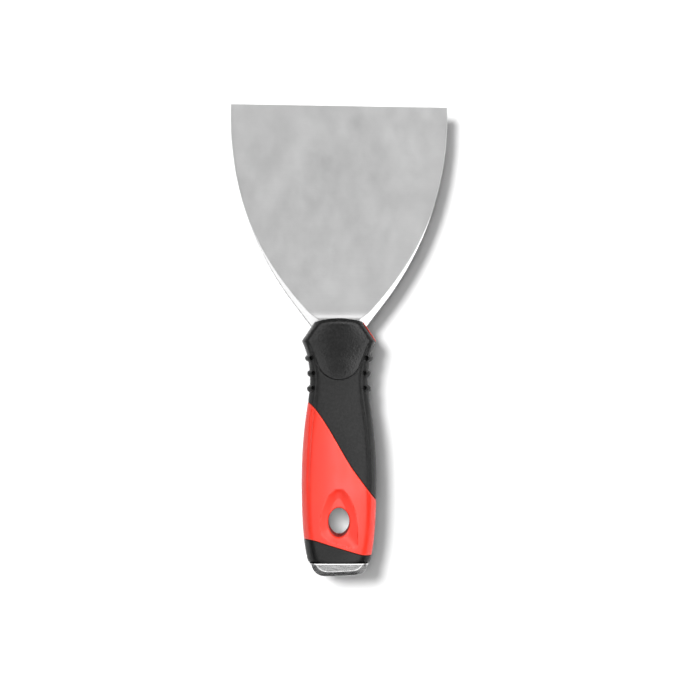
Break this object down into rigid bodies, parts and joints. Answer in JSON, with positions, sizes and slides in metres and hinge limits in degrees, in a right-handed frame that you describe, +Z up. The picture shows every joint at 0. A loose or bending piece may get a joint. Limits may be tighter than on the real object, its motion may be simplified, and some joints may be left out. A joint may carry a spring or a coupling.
{
  "type": "flexible putty knife",
  "caption": "Putty knife with a wide flared flexible steel blade, a contoured two-colour soft-grip handle with thumb pads and a hang hole, and a steel hammer end.",
  "frame": {"origin": "middle of the bottom of the bounding box, with the knife lying on the back of its handle", "axes": "+Y along the knife from the hammer end to the blade's working edge, +Z up through its thickness, X across the blade"},
  "size_m": [0.1, 0.2174, 0.0236],
  "materials": {
    "blade_steel": "satin-ground carbon steel",
    "core_plastic": "satin moulded polypropylene, orange-red",
    "grip_rubber": "matt fine-textured thermoplastic rubber, black",
    "collar_rubber": "matt thermoplastic rubber, black",
    "cap_steel": "bright plated steel with a satin face",
    "rivet_steel": "plain steel pin"
  },
  "bodies": {
    "handle": {"tang": "blade_steel", "handle_core": "core_plastic", "soft_grip": "grip_rubber", "rear_collar": "collar_rubber", "hammer_cap": "cap_steel", "cap_rivet": "rivet_steel"},
    "flex_blade": {"blade": "blade_steel"}
  },
  "joints": [
    {"name": "blade_flex", "type": "hinge", "parent": "handle", "child": "flex_blade", "pos_m": [0, 0.0104, 0.0118], "axis": [1, 0, 0], "range_deg": [-15, 15], "stiffness_Nm_per_rad": 14}
  ]
}
